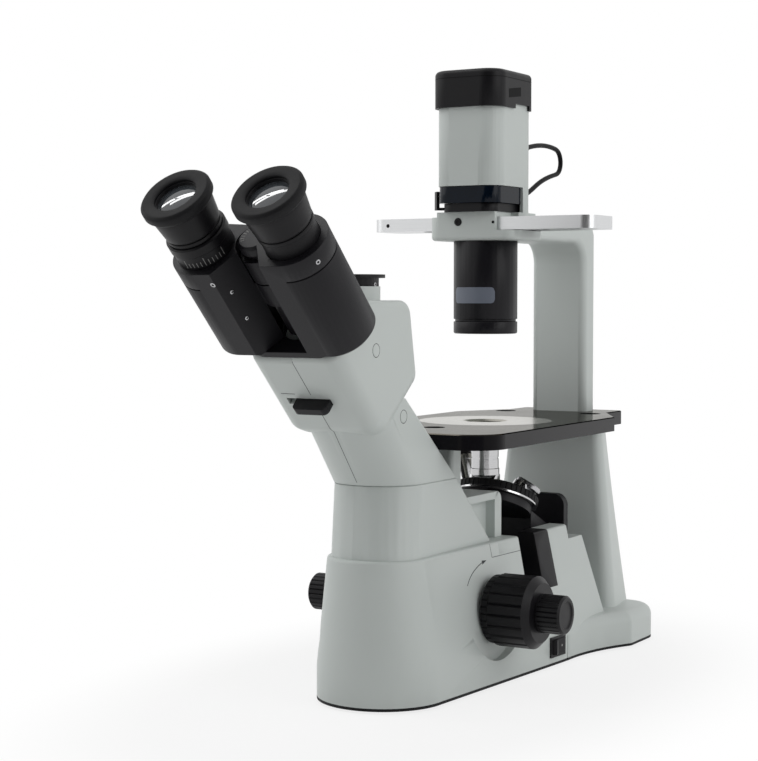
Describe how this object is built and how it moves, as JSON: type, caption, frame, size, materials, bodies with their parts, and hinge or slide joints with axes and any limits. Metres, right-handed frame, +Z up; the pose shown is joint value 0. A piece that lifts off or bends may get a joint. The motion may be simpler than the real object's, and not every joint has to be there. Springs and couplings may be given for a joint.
{
  "type": "inverted microscope",
  "caption": "Inverted microscope with binocular head, black stage, tilted nosepiece under it, condenser and lamp on a rear column, coaxial focus knobs and phase slider.",
  "frame": {"origin": "on the bench, in the middle of the part's footprint", "axes": "+X to the user's right, +Y from the eyepieces to the rear column, +Z up"},
  "size_m": [0.225, 0.5688, 0.4845],
  "materials": {
    "grey_paint": "satin",
    "black_paint": "satin",
    "black_plastic": "matte",
    "sheet_steel": "matte",
    "black_rubber": "matte",
    "lead_jacket": "satin",
    "lens_glass": "polished",
    "mirror_coat": "polished",
    "blue_plastic": "gloss",
    "bright_aluminium": "satin",
    "bright_chrome": "polished",
    "ground_steel": "ground",
    "bearing_brass": "turned"
  },
  "bodies": {
    "stand": {"base_casting": "grey_paint", "bottom_plate": "sheet_steel", "rubber_feet": "black_rubber", "deck_cover": "grey_paint", "beam_housing": "grey_paint", "stage_post": "grey_paint", "head_shell_left": "grey_paint", "head_shell_right": "grey_paint", "camera_port": "black_paint", "eyepiece_flange": "black_paint", "hinge_post": "black_paint", "stage_plate": "black_paint", "stage_insert": "bright_aluminium", "arm_casting": "grey_paint", "condenser_tube": "black_paint", "condenser_ring": "black_paint", "condenser_lens": "lens_glass", "lamp_seat": "black_paint", "lamp_house": "grey_paint", "lamp_cap": "black_plastic", "lamp_bulb": "lens_glass", "lead_glands": "lead_jacket", "lamp_lead": "lead_jacket", "shaft_bushings": "bearing_brass", "guide_post": "ground_steel", "rear_guard": "black_paint", "side_covers": "black_plastic", "mirrors": "mirror_coat", "switch_frame": "black_plastic", "mains_inlet": "black_plastic"},
    "carriage": {"carriage": "black_paint", "rack": "ground_steel", "turret_pivot": "ground_steel"},
    "turret": {"turret": "bright_chrome", "turret_grip": "black_rubber", "objectives": "bright_chrome", "socket_plug": "bright_chrome"},
    "coarse_focus": {"pinion_shaft": "ground_steel", "coarse_knobs": "black_plastic"},
    "fine_focus": {"fine_focus": "black_plastic"},
    "tension_collar": {"tension_collar": "black_plastic"},
    "arm_right": {"prism_housing_right": "black_paint", "eyepiece_tube_right": "black_paint", "eyepiece_right": "black_paint", "eye_lens_right": "lens_glass", "eyecup_right": "black_rubber"},
    "arm_left": {"prism_housing_left": "black_paint", "eyepiece_tube_left": "black_paint", "eyepiece_left": "black_paint", "eye_lens_left": "lens_glass", "eyecup_left": "black_rubber"},
    "diopter_ring": {"diopter_ring": "black_paint"},
    "beam_selector": {"beam_selector": "black_plastic", "splitter_prism": "lens_glass"},
    "phase_slider": {"phase_slider": "bright_aluminium"},
    "filter_drawer": {"filter_drawer": "blue_plastic"},
    "iris_lever": {"iris_lever": "black_plastic"},
    "switch_rocker": {"switch_rocker": "black_plastic"},
    "brightness_dial": {"brightness_dial": "black_plastic"}
  },
  "joints": [
    {"name": "focus_slide", "type": "slide", "parent": "stand", "child": "carriage", "axis": [0, 0, 1], "range_m": [-0.008, 0.003]},
    {"name": "turret_spin", "type": "hinge", "parent": "carriage", "child": "turret", "pos_m": [0, 0.12937, 0.14], "axis": [0, 0.4226, 0.9063], "continuous": true},
    {"name": "coarse_turn", "type": "hinge", "parent": "stand", "child": "coarse_focus", "pos_m": [0, 0.02357, 0.0605], "axis": [1, 0, 0], "range_deg": [-76.6, 28.9]},
    {"name": "fine_turn", "type": "hinge", "parent": "stand", "child": "fine_focus", "pos_m": [0, 0.02357, 0.0605], "axis": [1, 0, 0], "continuous": true},
    {"name": "tension_turn", "type": "hinge", "parent": "stand", "child": "tension_collar", "pos_m": [0.06, 0.02357, 0.0605], "axis": [1, 0, 0], "range_deg": [0, 90]},
    {"name": "arm_right_fold", "type": "hinge", "parent": "stand", "child": "arm_right", "pos_m": [0, -0.26168, 0.37615], "axis": [0, 0.7071, -0.7071], "range_deg": [-13.5, 30]},
    {"name": "arm_left_fold", "type": "hinge", "parent": "stand", "child": "arm_left", "pos_m": [0, -0.26168, 0.37615], "axis": [0, 0.7071, -0.7071], "range_deg": [-30, 13.5]},
    {"name": "diopter_turn", "type": "hinge", "parent": "arm_left", "child": "diopter_ring", "pos_m": [-0.0362, -0.26783, 0.37], "axis": [0, 0.7071, -0.7071], "range_deg": [-120, 120]},
    {"name": "selector_slide", "type": "slide", "parent": "stand", "child": "beam_selector", "axis": [1, 0, 0], "range_m": [-0.008, 0]},
    {"name": "phase_slide", "type": "slide", "parent": "stand", "child": "phase_slider", "axis": [1, 0, 0], "range_m": [-0.044, 0.044]},
    {"name": "filter_slide", "type": "slide", "parent": "stand", "child": "filter_drawer", "axis": [0, -1, 0], "range_m": [0, 0.04]},
    {"name": "iris_turn", "type": "hinge", "parent": "stand", "child": "iris_lever", "pos_m": [0, 0.10637, 0.374], "axis": [0, 0, 1], "range_deg": [-35, 0]},
    {"name": "rocker_turn", "type": "hinge", "parent": "stand", "child": "switch_rocker", "pos_m": [0.06203, 0.11345, 0.017], "axis": [0, 0, 1], "range_deg": [-16, 0]},
    {"name": "dial_turn", "type": "hinge", "parent": "stand", "child": "brightness_dial", "pos_m": [-0.06302, 0.11337, 0.017], "axis": [-0.9972, -0.0749, 0], "range_deg": [0, 270]}
  ],
  "couplings": [
    {"joint": "coarse_turn", "follows": "focus_slide", "rad_per_m": 166.67},
    {"joint": "arm_left_fold", "follows": "arm_right_fold", "ratio": -1}
  ]
}
